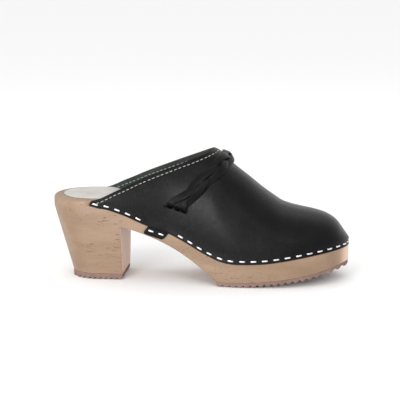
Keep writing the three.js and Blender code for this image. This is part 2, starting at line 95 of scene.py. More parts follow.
# the sole's lines
sole = {
    "length": 250, "seatHalfWidth": 31.5, "waistOuter": 29.5, "waistInner": 27,
    "ballOuter": 44, "ballInner": 42, "toeSwing": 8, "toeRoundLength": 68, "toeFullness": 2.1,
    "seatHeight": 70, "ballHeight": 27, "toeRise": 10, "toeSpring": 13, "forefootRear": 141.5,
    "breastX": 61, "shankUnderside": 47.6, "archCrown": (106, 36), "heelUndercut": 17,
    "heelBackHeight": 61, "heelFootHalfWidth": 22, "heelFlareHeight": 52,
    "treadThickness": 4, "liftThickness": 5,
}
soleLength = sole["length"]


def shares(pairs):
    # points whose first number is a share of the sole's length
    return smoothLine([(share * soleLength, value) for share, value in pairs])


swing = shares([(0.3, 0), (1, sole["toeSwing"])])
outerLine = shares([
    (0, sole["seatHalfWidth"]), (0.24, sole["seatHalfWidth"] - 0.5), (0.38, sole["waistOuter"]),
    (0.64, sole["ballOuter"] - 1), (0.72, sole["ballOuter"]),
])
innerLine = shares([
    (0, sole["seatHalfWidth"]), (0.24, sole["seatHalfWidth"] - 1), (0.4, sole["waistInner"]),
    (0.66, sole["ballInner"] - 1), (0.74, sole["ballInner"]),
])
heelToBall = shares([
    (0.176, 1), (0.244, 0.9), (0.333, 0.677), (0.393, 0.56), (0.461, 0.372), (0.529, 0.163),
    (0.594, 0.023), (0.63, 0),
])
ballToToe = shares([(0.66, 0), (0.72, 0.07), (0.782, 0.27), (0.922, 0.8), (1, 1)])
springLine = shares([(0.64, 0), (0.74, 0.13), (0.802, 0.26), (0.876, 0.49), (0.94, 0.78), (1, 1)])


def endRounding(x):
    # 0 at both ends of the plan, 1 along the middle
    fromBack = clamp(x / sole["seatHalfWidth"])
    back = math.sqrt(max(0.0, 1 - (1 - fromBack) ** 2))
    fromBall = max(0.0, (x - (soleLength - sole["toeRoundLength"])) / sole["toeRoundLength"])
    toe = max(0.0, 1 - fromBall ** sole["toeFullness"]) ** (1 / sole["toeFullness"])
    return back * toe


def outerEdge(x):
    return swing(x) - outerLine(x) * endRounding(x)


def innerEdge(x):
    return swing(x) + innerLine(x) * endRounding(x)


def footbed(x):
    climb = (sole["seatHeight"] - sole["ballHeight"]) * heelToBall(x)
    return sole["ballHeight"] + climb + sole["toeRise"] * ballToToe(x)


def forefootUnderside(x):
    return sole["treadThickness"] + sole["toeSpring"] * springLine(x)


def archUnderside(x):
    # a curve with one pulling point: find where it passes x
    x0, x1, x2 = sole["forefootRear"], sole["archCrown"][0], sole["breastX"]
    a = x0 - 2 * x1 + x2
    b = 2 * (x1 - x0)
    t = clamp((-b - math.sqrt(max(0.0, b * b - 4 * a * (x0 - x)))) / (2 * a))
    z0, z1, z2 = sole["treadThickness"], sole["archCrown"][1], sole["shankUnderside"]
    return (1 - t) ** 2 * z0 + 2 * t * (1 - t) * z1 + t * t * z2


def underside(x):
    if x <= sole["breastX"]:
        return sole["shankUnderside"]
    return archUnderside(x) if x < sole["forefootRear"] else forefootUnderside(x)


def planAt(mark):
    # once round the plan: 0 at the back of the heel, 1 at the toe, on to 2 along the inner side
    mark %= 2
    x = soleLength * (1 - math.cos(math.pi * mark)) / 2
    return Vector((x, outerEdge(x) if mark <= 1 else innerEdge(x), 0))


def planPoint(mark, inset):
    step = 0.0005
    way = planAt(mark + step) - planAt(mark - step)
    way.normalize()
    point = planAt(mark)
    return Vector((point.x - way.y * inset, point.y + way.x * inset, 0))


def markAt(x):
    return math.acos(clamp(1 - 2 * x / soleLength, -1, 1)) / math.pi


# how far the frame's origin is from the back of the heel and the long axis
widest = min(outerEdge(i * 0.05) for i in range(20 * soleLength))
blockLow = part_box("sole_block")[0]
shoeOrigin = Vector((blockLow.x, blockLow.y - widest * mm, 0))


# mesh helpers
def layGrid(bm, across, up, place):
    # a grid whose points are moved onto a surface, place(column, row)
    made = bmesh.ops.create_grid(bm, x_segments=across, y_segments=up, size=0.5)
    for vert in made["verts"]:
        column = round((vert.co.x + 0.5) * across)
        row = round((vert.co.y + 0.5) * up)
        vert.co = place(column, row)
    return made["verts"]


weldDistance = 0.004


def weld(bm, distance=weldDistance):
    bmesh.ops.remove_doubles(bm, verts=bm.verts[:], dist=distance)
    bmesh.ops.dissolve_degenerate(bm, edges=bm.edges[:], dist=distance)
    bmesh.ops.recalc_face_normals(bm, faces=bm.faces[:])


def faceOutwards(bm):
    # an open sheet over the foot: its highest face looks up
    middle = max(bm.faces, key=lambda f: f.calc_center_median().z)
    if middle.normal.z < 0:
        bmesh.ops.reverse_faces(bm, faces=bm.faces[:])


def thicken(piece, thickness, rim, cutWidth):
    # a sheet gets its wall on the inside and its cut edge slightly rounded
    wall = piece.modifiers.new("wall", "SOLIDIFY")
    wall.thickness = thickness * mm
    wall.offset = -1
    wall.material_offset_rim = rim
    cut = piece.modifiers.new("cut edge", "BEVEL")
    cut.limit_method = "ANGLE"
    cut.angle_limit = math.radians(50)
    cut.width = cutWidth * mm
    cut.segments = 2
    return wall


def softenEdges(bm, degrees, width, segments):
    sharp = [e for e in bm.edges if len(e.link_faces) == 2 and e.calc_face_angle(0) > math.radians(degrees)]
    bmesh.ops.bevel(bm, geom=sharp, offset=width, offset_type="OFFSET", affect="EDGES",
                    segments=segments, profile=0.5, material=-1, clamp_overlap=True)


def finishPiece(bm, name, looks, nodes=(), flatAngle=40):
    # millimetres from the back of the heel become the frame's metres
    bmesh.ops.scale(bm, vec=(mm, mm, mm), verts=bm.verts[:])
    bmesh.ops.translate(bm, vec=shoeOrigin, verts=bm.verts[:])
    mesh = bpy.data.meshes.new(name)
    bm.to_mesh(mesh)
    bm.free()
    for look in looks:
        mesh.materials.append(look)
    mesh.shade_smooth()
    mesh.set_sharp_from_angle(angle=math.radians(flatAngle))
    piece = bpy.data.objects.new(name, mesh)
    bpy.context.scene.collection.objects.link(piece)
    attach(piece, "root")
    if nodes:
        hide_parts(*nodes)
    print("made", name, len(mesh.polygons), "faces")
    return piece


# materials: sums on sockets become Math nodes
class Value:
    def __init__(self, look, socket):
        self.look = look
        self.socket = socket

    def sum(self, operation, first, second):
        return self.look.add("ShaderNodeMath", {"operation": operation}, {0: first, 1: second})

    def __add__(self, other):
        return self.sum("ADD", self, other)

    __radd__ = __add__

    def __mul__(self, other):
        return self.sum("MULTIPLY", self, other)

    def __sub__(self, other):
        return self.sum("SUBTRACT", self, other)

    def __rsub__(self, other):
        return self.sum("SUBTRACT", other, self)

    def out(self, name):
        return Value(self.look, self.socket.node.outputs[name])


class Look:
    def __init__(self, name):
        self.material = bpy.data.materials.new(name)
        self.material.use_nodes = True
        self.tree = self.material.node_tree
        self.tree.nodes.clear()

    def add(self, kind, settings=None, inputs=None):
        node = self.tree.nodes.new(kind)
        for key, value in (settings or {}).items():
            setattr(node, key, value)
        for key, value in (inputs or {}).items():
            if isinstance(value, Value):
                self.tree.links.new(value.socket, node.inputs[key])
            else:
                node.inputs[key].default_value = value
        shown = [s for s in node.outputs if s.enabled]
        return Value(self, shown[0]) if shown else node

    def place(self, stretch=(1, 1, 1), turn=(0, 0, 0)):
        coords = self.add("ShaderNodeTexCoord").out("Object")
        return self.add("ShaderNodeMapping", {}, {"Vector": coords, "Rotation": turn, "Scale": stretch})

    def noise(self, place, scale, detail=3.0, rough=0.5, warp=0.0):
        return self.add("ShaderNodeTexNoise", {}, {
            "Vector": place, "Scale": scale, "Detail": detail, "Roughness": rough, "Distortion": warp})

    def mask(self, value, low, high):
        return self.add("ShaderNodeMapRange", {"interpolation_type": "SMOOTHSTEP"}, {
            "Value": value, "From Min": low, "From Max": high})

    def mix(self, factor, first, second, way="MIX"):
        return self.add("ShaderNodeMix", {"data_type": "RGBA", "blend_type": way}, {
            0: factor, 6: first, 7: second}).out(2)

    def height(self, value, distance, strength=1.0, normal=None):
        inputs = {"Height": value, "Distance": distance * mm, "Strength": strength}
        if normal is not None:
            inputs["Normal"] = normal
        return self.add("ShaderNodeBump", {}, inputs)

    def finish(self, inputs):
        shader = self.add("ShaderNodeBsdfPrincipled", {}, inputs)
        self.add("ShaderNodeOutputMaterial", {}, {"Surface": shader})
        return self.material


def shade(red, green, blue):
    # a colour as a paint chart gives it, 0 to 255, made linear
    def linear(level):
        level /= 255
        return level / 12.92 if level <= 0.04045 else ((level + 0.055) / 1.055) ** 2.4
    return (linear(red), linear(green), linear(blue), 1)


woodLook = {
    "pale": shade(145, 121, 100), "deep": shade(131, 105, 82), "fleck": shade(88, 59, 42),
    "endGrain": shade(240, 200, 180), "roughness": 0.55,
}


def makeWoodLook(name):
    look = Look(name)
    wide = look.noise(look.place((9, 55, 48)), 1.0, 3.0, 0.55, 0.4)
    lines = look.noise(look.place((14, 420, 330), (0, 0.03, 0.02)), 1.0, 4.0, 0.6, 0.25)
    fibre = look.noise(look.place((60, 2600, 2600)), 1.0, 2.0, 0.6)
    dashes = look.noise(look.place((190, 1500, 1250), (0, 0.05, 0.04)), 1.0, 1.5, 0.5)
    patches = look.noise(look.place((22, 60, 60)), 1.0, 2.0, 0.5)
    body = look.mix(look.mask(wide, 0.35, 0.68), woodLook["pale"], woodLook["deep"])
    tone = look.mix(look.mask(lines, 0.5, 0.72) * 0.35, body, woodLook["deep"])
    tone = look.mix(look.mask(fibre, 0.45, 0.8) * 0.22, tone, woodLook["fleck"])
    flecks = look.mask(dashes, 0.63, 0.7) * look.mask(patches, 0.4, 0.6)
    tone = look.mix(flecks * 0.85, tone, woodLook["fleck"])
    # the cut ends of the fibres, at the heel's front and at the toe, are pinker
    normal = look.add("ShaderNodeNewGeometry").out("Normal")
    facing = look.add("ShaderNodeSeparateXYZ", {}, {"Vector": normal})
    ends = look.mask(facing, 0.75, 0.97)
    dots = look.noise(look.place((500, 1900, 1900)), 1.0, 2.0, 0.6)
    endTone = look.mix(look.mask(dots, 0.5, 0.75) * 0.3, woodLook["endGrain"], woodLook["deep"])
    tone = look.mix(ends * 0.8, tone, endTone)
    relief = look.height(fibre + dashes * 0.6, 0.05, 0.5)
    return look.finish({
        "Base Color": tone, "Roughness": woodLook["roughness"] - lines * 0.08, "Normal": relief,
        "Specular IOR Level": 0.4, "Coat Weight": 0.12, "Coat Roughness": 0.3,
    })


leatherLook = {"black": shade(7, 7, 9), "worn": shade(12, 12, 13), "roughness": 0.25}


def makeLeatherLook(name, sheen=1.0):
    look = Look(name)
    place = look.place()
    grain = look.add("ShaderNodeTexVoronoi", {"feature": "DISTANCE_TO_EDGE"}, {
        "Vector": place, "Scale": 1500, "Randomness": 1.0})
    fine = look.noise(place, 2600, 3.0, 0.6)
    soft = look.noise(place, 70, 3.0, 0.55)
    slow = look.noise(place, 22, 2.0, 0.5)
    pebbles = look.mask(grain, 0.0, 0.16)
    tone = look.mix(look.mask(soft, 0.35, 0.75), leatherLook["black"], leatherLook["worn"])
    relief = look.height(pebbles + fine * 0.35, 0.06, 0.55)
    relief = look.height(slow, 1.1, 0.22, relief)
    gloss = leatherLook["roughness"] * (2 - sheen) + (soft - 0.5) * 0.12 + (1 - pebbles) * 0.06
    return look.finish({
        "Base Color": tone, "Roughness": gloss, "Normal": relief, "Specular IOR Level": 0.12,
    })


def makeFleshLook(name):
    # the uncoated inner face of the leather
    look = Look(name)
    place = look.place()
    nap = look.noise(place, 900, 4.0, 0.65, 0.3)
    cloud = look.noise(place, 55, 3.0, 0.6)
    tone = look.mix(look.mask(cloud, 0.3, 0.7), shade(42, 53, 50), shade(56, 68, 64))
    tone = look.mix(look.mask(nap, 0.52, 0.75) * 0.4, tone, shade(74, 84, 79))
    relief = look.height(nap, 0.16, 0.7)
    return look.finish({
        "Base Color": tone, "Roughness": 0.86 + nap * 0.1, "Normal": relief,
        "Specular IOR Level": 0.2, "Sheen Weight": 0.15, "Sheen Roughness": 0.5,
    })


def makeRawEdgeLook(name):
    # where the hide is cut, its layers show
    look = Look(name)
    layers = look.noise(look.place((900, 900, 2400)), 1.0, 3.0, 0.6)
    tone = look.mix(look.mask(layers, 0.35, 0.7), shade(34, 28, 28), shade(66, 50, 46))
    return look.finish({
        "Base Color": tone, "Roughness": 0.74 + layers * 0.12, "Normal": look.height(layers, 0.08, 0.6)})


def makeRubberLook(name):
    look = Look(name)
    place = look.place()
    grit = look.noise(place, 1400, 3.0, 0.65)
    cloud = look.noise(place, 60, 3.0, 0.55)
    scuff = look.noise(look.place((90, 700, 700)), 1.0, 3.0, 0.6)
    tone = look.mix(look.mask(cloud, 0.3, 0.7), shade(116, 92, 84), shade(130, 104, 95))
    tone = look.mix(look.mask(grit, 0.58, 0.72) * 0.35, tone, shade(92, 70, 62))
    tone = look.mix(look.mask(scuff, 0.6, 0.75) * 0.25, tone, shade(160, 138, 126))
    return look.finish({
        "Base Color": tone, "Roughness": 0.78 + grit * 0.14, "Normal": look.height(grit, 0.12, 0.5),
        "Specular IOR Level": 0.35})


def makeSteelLook(name):
    look = Look(name)
    place = look.place()
    scratches = look.noise(look.place((700, 2600, 2600)), 1.0, 3.0, 0.6)
    dull = look.noise(place, 420, 2.0, 0.5)
    tone = look.mix(look.mask(dull, 0.4, 0.7), shade(236, 236, 238), shade(214, 215, 219))
    return look.finish({
        "Base Color": tone, "Metallic": 1.0, "Roughness": 0.24 + scratches * 0.16,
        "Normal": look.height(scratches, 0.02, 0.4)})


def makeThreadLook(name):
    look = Look(name)
    twist = look.noise(look.place((2400, 2400, 2400)), 1.0, 3.0, 0.6)
    tone = look.mix(look.mask(twist, 0.4, 0.7), shade(178, 176, 167), shade(144, 142, 133))
    return look.finish({
        "Base Color": tone, "Roughness": 0.72 + twist * 0.15, "Normal": look.height(twist, 0.08, 0.6),
        "Specular IOR Level": 0.3})


def makeLabelLook(name):
    look = Look(name)
    place = look.place()
    weave = look.noise(place, 1800, 3.0, 0.6)
    cloud = look.noise(place, 70, 3.0, 0.6)
    tone = look.mix(look.mask(cloud, 0.3, 0.75), shade(190, 188, 183), shade(176, 173, 167))
    tone = look.mix(look.mask(weave, 0.55, 0.75) * 0.25, tone, shade(158, 155, 147))
    return look.finish({
        "Base Color": tone, "Roughness": 0.5 + weave * 0.15, "Normal": look.height(weave, 0.05, 0.5)})


def makeBoardLook(name):
    look = Look(name)
    place = look.place()
    fibres = look.noise(place, 700, 4.0, 0.65, 0.8)
    tone = look.mix(look.mask(fibres, 0.35, 0.7), shade(96, 90, 80), shade(128, 121, 108))
    return look.finish({
        "Base Color": tone, "Roughness": 0.8 + fibres * 0.1, "Normal": look.height(fibres, 0.1, 0.6)})


wood = makeWoodLook("wood_pale")
leather = makeLeatherLook("leather_black")
strapLeather = makeLeatherLook("leather_strap", 0.9)
flesh = makeFleshLook("leather_flesh_side")
rawEdge = makeRawEdgeLook("leather_cut_edge")
rubber = makeRubberLook("rubber_brown")
steel = makeSteelLook("steel_bright")
thread = makeThreadLook("thread_pale")
labelPaper = makeLabelLook("label_sheet")
board = makeBoardLook("stiffener_board")
print("materials made")


# wooden sole
block = {
    "marks": 120, "across": 14, "sideRows": 8, "heelRows": 16, "rimRows": 5, "rimBack": 3.0,
    "rimInside": 0.8, "rebate": 1.8, "edgeSoft": 0.6, "lipHeight": 7.5, "tipX": 35,
    "tipRise": 2, "tipRiseLength": 10,
}


def ledge(x):
    tip = 1 - ease(block["tipX"], block["tipX"] + block["tipRiseLength"], x)
    return footbed(x) - block["lipHeight"] + block["tipRise"] * tip


def heelShape(point, height):
    # the heel leans forward at the back and narrows towards the ground
    breast = sole["breastX"]
    lean = sole["heelUndercut"] * max(0.0, 1 - height / sole["heelBackHeight"])
    full = clamp((height - sole["liftThickness"]) / (sole["heelFlareHeight"] - sole["liftThickness"]))
    narrow = lerp(sole["heelFootHalfWidth"] / sole["seatHalfWidth"], 1, full)
    narrow = lerp(narrow, 1, ease(breast, breast + 15, point.x))
    x = lean + point.x * (breast - lean) / breast if point.x < breast else point.x
    return Vector((x, point.y * narrow, height))


def makeSoleBlock():
    bm = bmesh.new()
    count = block["marks"]
    marks = [i / count for i in range(count + 1)]
    breastAt = round(markAt(sole["breastX"]) * count)
    for x in (sole["breastX"], block["tipX"], sole["forefootRear"]):
        near = round(markAt(x) * count)
        marks[near] = markAt(x)
    rows = block["sideRows"]
    lastRow = rows + 2 + block["rimRows"]

    def stationX(i):
        return soleLength * (1 - math.cos(math.pi * marks[i])) / 2

    def side(i, row, inner):
        mark = 2 - marks[i] if inner else marks[i]
        x = stationX(i)
        step = block["rebate"] * ease(block["tipX"] - 0.8, block["tipX"], x)
        rim = lerp(block["rimBack"], block["rimInside"], ease(block["tipX"], block["tipX"] + 8, x))
        top = footbed(x)
        if row <= rows:
            return heelShape(planPoint(mark, 0), lerp(underside(x), ledge(x), row / rows))
        if row == rows + 1:
            return heelShape(planPoint(mark, step), ledge(x))
        turn = math.pi / 2 * (row - rows - 2) / block["rimRows"]
        inset = step + rim * (1 - math.cos(turn))
        point = planPoint(mark, inset)
        point.z = top - rim + rim * math.sin(turn)
        return point

    def heelSide(i, row, inner):
        mark = 2 - marks[i] if inner else marks[i]
        height = lerp(sole["liftThickness"], sole["shankUnderside"], row / block["heelRows"])
        return heelShape(planPoint(mark, 0), height)

    across = block["across"]

    def bridge(one, other, j):
        return one.lerp(other, j / across)

    for inner in (False, True):
        layGrid(bm, count, lastRow, lambda i, row: side(i, row, inner))
        layGrid(bm, breastAt, block["heelRows"], lambda i, row: heelSide(i, row, inner))
    layGrid(bm, count, across, lambda i, j: bridge(side(i, lastRow, False), side(i, lastRow, True), j))
    layGrid(bm, count - breastAt, across, lambda i, j: bridge(
        side(i + breastAt, 0, False), side(i + breastAt, 0, True), j))
    layGrid(bm, breastAt, across, lambda i, j: bridge(heelSide(i, 0, False), heelSide(i, 0, True), j))
    layGrid(bm, block["heelRows"], across, lambda row, j: bridge(
        heelSide(breastAt, row, False), heelSide(breastAt, row, True), j))
    weld(bm)
    softenEdges(bm, 38, block["edgeSoft"], 3)
    weld(bm, 0.001)
    return finishPiece(bm, "wooden_sole", [wood], ["sole_block"], 50)


# rubber treads
tread = {
    "gap": 0.3, "ridgeDepth": 1.8, "ridgeLand": 1.2, "forefootPitch": 5.8, "heelPitch": 4.7,
    "across": 10, "edgeSoft": 0.3, "edgeAngle": 24, "cornerClear": 0.25, "endClear": 0.2,
    "toeRound": 40, "toeSteps": 24, "heelRound": 30, "heelSteps": 20, "pastToe": 12,
}


def ridgeMarks(start, end, pitch):
    # where each ridge starts, is flat, and ends: pairs of place and depth
    count = round((end - start) / pitch)
    step = (end - start) / count
    marks = []
    for i in range(count):
        middle = start + (i + 0.5) * step
        marks.append((start + i * step, tread["ridgeDepth"]))
        marks.append((middle - tread["ridgeLand"] / 2, 0))
        marks.append((middle + tread["ridgeLand"] / 2, 0))
    marks.append((end, tread["ridgeDepth"]))
    return marks


def ridgeDepthAt(marks, x):
    for (x0, d0), (x1, d1) in zip(marks, marks[1:]):
        if x0 <= x <= x1:
            return lerp(d0, d1, (x - x0) / (x1 - x0))
    return tread["ridgeDepth"]


def awayFrom(corners, places):
    # the places that are not too close to a corner
    return [x for x in places if all(abs(x - c) > tread["cornerClear"] for c in corners)]


def slabBody(xs, sideAt, closeBack):
    # sideAt(x, inner, top) is a corner of the slab's section at x
    bm = bmesh.new()
    last = len(xs) - 1
    across = tread["across"]
    for top in (False, True):
        layGrid(bm, last, across, lambda i, j: sideAt(xs[i], False, top).lerp(
            sideAt(xs[i], True, top), j / across))
    for inner in (False, True):
        layGrid(bm, last, 1, lambda i, row: sideAt(xs[i], inner, row == 1))
    for end in closeBack:
        layGrid(bm, across, 1, lambda j, row: sideAt(xs[end], False, row == 1).lerp(
            sideAt(xs[end], True, row == 1), j / across))
    weld(bm)
    return bm


def makeForefootTread():
    start = sole["forefootRear"] + tread["gap"]
    marks = ridgeMarks(sole["forefootRear"], soleLength + tread["pastToe"], tread["forefootPitch"])
    steps = tread["toeSteps"]
    rounded = [soleLength - tread["gap"] - tread["toeRound"] * (1 - math.sin(math.pi / 2 * i / steps))
               for i in range(steps + 1)]
    corners = [x for x, _ in marks if start < x < soleLength - tread["gap"] - tread["endClear"]]
    xs = sorted([start, *corners, *awayFrom(corners, rounded)])

    def sideAt(x, inner, top):
        edge = innerEdge(x) - tread["gap"] if inner else outerEdge(x) + tread["gap"]
        middle = swing(x)
        edge = max(edge, middle) if inner else min(edge, middle)
        z = forefootUnderside(x) - tread["gap"] * 0.5
        if not top:
            z = forefootUnderside(x) - sole["treadThickness"] + ridgeDepthAt(marks, x)
        return Vector((x, edge, z))

    bm = slabBody(xs, sideAt, [0])
    softenEdges(bm, tread["edgeAngle"], tread["edgeSoft"], 2)
    return finishPiece(bm, "forefoot_rubber", [rubber], ["forefoot_tread"], 35)


def makeHeelLift():
    start = sole["heelUndercut"] * (1 - sole["liftThickness"] / sole["heelBackHeight"]) + tread["gap"]
    end = sole["breastX"] - tread["gap"]
    marks = ridgeMarks(sole["heelUndercut"] - tread["heelPitch"] / 2, sole["breastX"], tread["heelPitch"])
    steps = tread["heelSteps"]
    back = [start + tread["heelRound"] * (1 - math.cos(math.pi / 2 * i / steps)) for i in range(steps + 1)]
    corners = [x for x, _ in marks if start + tread["endClear"] < x < end]
    xs = sorted([*awayFrom(corners, back), *corners, end])
    lean = sole["heelUndercut"] * (1 - sole["liftThickness"] / sole["heelBackHeight"])
    narrow = sole["heelFootHalfWidth"] / sole["seatHalfWidth"]

    def sideAt(x, inner, top):
        planX = (x - lean) * sole["breastX"] / (sole["breastX"] - lean)
        edge = (innerEdge(planX) if inner else outerEdge(planX)) * narrow
        if abs(x - start) < 1e-6:
            edge = 0
        z = sole["liftThickness"] - tread["gap"] * 0.5 if top else ridgeDepthAt(marks, x)
        return Vector((x, edge, z))

    bm = slabBody(xs, sideAt, [-1])
    softenEdges(bm, tread["edgeAngle"], tread["edgeSoft"], 2)
    return finishPiece(bm, "heel_rubber", [rubber], ["heel_lift"], 35)


# the form that the leather follows
form = {
    "beyond": 12, "lipStraight": 2, "fullness": 2.15, "throatX": 137, "throatHeight": 110,
    "lipShare": 0.12, "toeFlat": 0.1, "top": 0.3, "thickness": 1.7,
}
throat = (form["throatX"], form["throatHeight"])
ridge = smoothLine([
    (0.1 * soleLength, 88), (0.24 * soleLength, 97), (0.34 * soleLength, 106.5),
    (0.45 * soleLength, 112.5), (0.5 * soleLength, 112.4), throat,
    (throat[0] + 17, throat[1] - 15), (throat[0] + 29, throat[1] - 24.6),
    (throat[0] + 39.8, throat[1] - 33.6), (throat[0] + 48.8, throat[1] - 40.2),
    (0.776 * soleLength, 64.4), (0.824 * soleLength, 60.8), (0.867 * soleLength, 58.6),
    (0.908 * soleLength, 56), (0.94 * soleLength, 52.3), (0.96 * soleLength, 48.2),
    (0.978 * soleLength, 42.2), (0.991 * soleLength, 37.6), (soleLength, 35),
])
topline = smoothLine([
    (block["tipX"], 69.2), (0.236 * soleLength, 78), (0.31 * soleLength, 86.5),
    (0.42 * soleLength, 97.5), (0.5 * soleLength, 105), throat, (throat[0] + 14, throat[1] + 6),
])


def formPoint(x, turn):
    # turn is 0 at the inner side's foot, 0.5 on the ridge, 1 at the outer side's foot
    share = min(turn, 1 - turn)
    edge = innerEdge(x) if turn < 0.5 else outerEdge(x)
    foot = ledge(x) - form["beyond"]
    spring = ledge(x) + form["lipStraight"]
    if share <= form["lipShare"]:
        return Vector((x, edge, foot + (spring - foot) * share / form["lipShare"]))
    angle = math.pi / 2 * (share - form["lipShare"]) / (0.5 - form["lipShare"])
    power = 2 / form["fullness"]
    height = max(ridge(x) - spring, 1)
    reach = max(math.cos(angle), 0) ** power
    return Vector((x, lerp(swing(x), edge, reach), spring + height * math.sin(angle) ** power))


def formNormal(x, turn):
    step = 0.02
    front = min(x + step, soleLength)
    alongX = formPoint(front, turn) - formPoint(front - 2 * step, turn)
    around = formPoint(x, min(turn + 0.002, 1)) - formPoint(x, max(turn - 0.002, 0))
    return around.cross(alongX).normalized()


def onForm(x, turn, offset):
    return formPoint(x, turn) + formNormal(x, turn) * offset


def shareAtHeight(x, height):
    # the share at which the form's section at x reaches a height
    foot = ledge(x) - form["beyond"]
    spring = ledge(x) + form["lipStraight"]
    if height <= spring:
        return form["lipShare"] * (height - foot) / (spring - foot)
    level = clamp((height - spring) / max(ridge(x) - spring, 1))
    angle = math.asin(level ** (form["fullness"] / 2))
    return form["lipShare"] + (0.5 - form["lipShare"]) * angle / (math.pi / 2)


def edgeX(turn, drop):
    # where the line that runs drop below the top edge crosses this turn
    low, high = block["tipX"] - 8, form["throatX"] + 30
    for _ in range(26):
        x = (low + high) / 2
        if formPoint(x, turn).z > topline(x) - drop:
            low = x
        else:
            high = x
    return (low + high) / 2


# leather upper
upperPiece = {
    "sideColumns": 62, "bodyRows": 74, "drops": [0, 0.5, 1.1, 1.8, 2.5, 3.0, 3.5, 4.1, 5, 6.4, 8.2],
    "lipColumns": 5, "tipRadius": 2.2, "seamDrop": 3.1, "seamDip": 0.22, "stapleAbove": 2.9,
    "stapleDip": 0.3, "stapleWidth": 1.3, "flare": 0.4, "flareSpan": (0.2, 1.9), "minStep": 0.3,
    "swell": 0.15, "swellAbove": 7.0, "swellWidth": 2.4, "swellSpan": (60, 90), "seamWidth": 0.55,
    "strapX": 92.5, "strapBulge": 0.8, "strapWidth": 8, "strapFade": 6,
    "cutWidth": 0.28,
}


def leatherRelief(x, z):
    # how the surface leaves the form: pressed in at the staples and the seam, flared at the foot
    above = z - ledge(x)
    relief = form["top"]
    relief -= upperPiece["stapleDip"] * bump(above, upperPiece["stapleAbove"], upperPiece["stapleWidth"])
    relief += upperPiece["flare"] * (1 - ease(*upperPiece["flareSpan"], above))
    swell = upperPiece["swell"] * bump(above, upperPiece["swellAbove"], upperPiece["swellWidth"])
    relief += swell * ease(*upperPiece["swellSpan"], x)
    strapBulge = upperPiece["strapBulge"] * bump(x, upperPiece["strapX"], upperPiece["strapWidth"])
    relief += strapBulge * (1 - ease(0, upperPiece["strapFade"], above))
    relief -= upperPiece["seamDip"] * bump(topline(x) - z, upperPiece["seamDrop"], upperPiece["seamWidth"])
    return relief


def upperColumns():
    footShare = form["lipShare"] * (form["beyond"] + 0.3) / (form["beyond"] + form["lipStraight"])
    lip = [lerp(footShare, form["lipShare"], i / upperPiece["lipColumns"])
           for i in range(upperPiece["lipColumns"])]
    first = block["tipX"] + 1
    count = upperPiece["sideColumns"]
    climbing = []
    for i in range(count + 1):
        x = lerp(first, form["throatX"], 0.25 * math.sin(math.pi / 2 * i / count) + 0.75 * i / count)
        climbing.append(shareAtHeight(x, topline(x)))
    climbing[-1] = 0.5
    climbing = [s for s in climbing if s > form["lipShare"] + 0.003]
    half = lip + [form["lipShare"]] + climbing
    return half + [1 - s for s in reversed(half[:-1])]


def makeUpper():
    bm = bmesh.new()
    turns = upperColumns()
    drops = upperPiece["drops"]
    rows = upperPiece["bodyRows"]
    tipMiddle = ledge(block["tipX"]) + upperPiece["tipRadius"] + 0.3
    columns = []
    for turn in turns:
        # rounded tip: the rear end is never behind this arc
        start = block["tipX"]
        for _ in range(3):
            off = clamp((formPoint(start, turn).z - tipMiddle) / upperPiece["tipRadius"], -1, 1)
            start = block["tipX"] + upperPiece["tipRadius"] * (1 - math.sqrt(max(0.0, 1 - off * off)))
        xs = []
        for i, drop in enumerate(drops):
            xs.append(max(edgeX(turn, drop), start + upperPiece["minStep"] * i))
        front = soleLength - form["toeFlat"]
        rear = xs[-1]
        for i in range(1, rows + 1):
            t = i / rows
            xs.append(rear + (front - rear) * (0.5 * t + 0.5 * math.sin(math.pi / 2 * t)))
        columns.append(xs)

    def at(i, row):
        x = columns[i][row]
        z = formPoint(x, turns[i]).z
        return onForm(x, turns[i], leatherRelief(x, z))

    layGrid(bm, len(turns) - 1, len(columns[0]) - 1, at)
    bmesh.ops.remove_doubles(bm, verts=bm.verts[:], dist=weldDistance)
    bmesh.ops.recalc_face_normals(bm, faces=bm.faces[:])
    faceOutwards(bm)
    piece = finishPiece(bm, "upper_leather", [leather, flesh, rawEdge], ["upper"], 60)
    wall = thicken(piece, form["thickness"], 2, upperPiece["cutWidth"])
    wall.use_even_offset = True
    wall.material_offset = 1
    return piece


# strip behind the top edge
facing = {
    "startX": 50, "dropTop": 1, "dropLow": 9.2, "rows": 10, "columns": 60, "thickness": 1.0, "cutWidth": 0.2,
}


def makeFacing():
    bm = bmesh.new()
    count = facing["columns"]
    half = [shareAtHeight(x, topline(x)) for x in
            (lerp(facing["startX"], form["throatX"], i / count) for i in range(count + 1))]
    half[-1] = 0.5
    turns = half + [1 - s for s in reversed(half[:-1])]
    inside = form["top"] - form["thickness"] - 0.02

    def at(i, row):
        drop = lerp(facing["dropTop"], facing["dropLow"], row / facing["rows"])
        dip = 0.12 * bump(drop, upperPiece["seamDrop"], 0.6)
        return onForm(edgeX(turns[i], drop), turns[i], inside - 0.25 + dip)

    layGrid(bm, len(turns) - 1, facing["rows"], at)
    bmesh.ops.recalc_face_normals(bm, faces=bm.faces[:])
    faceOutwards(bm)
    looks = [flesh, rawEdge]
    piece = finishPiece(bm, "topline_facing_strip", looks, ["topline_facing"], 60)
    thicken(piece, facing["thickness"], 1, facing["cutWidth"])
    return piece


# seam along the top edge
seam = {"pitch": 3.9, "length": 2.8, "width": 0.62, "height": 0.55, "rear": 37.5}


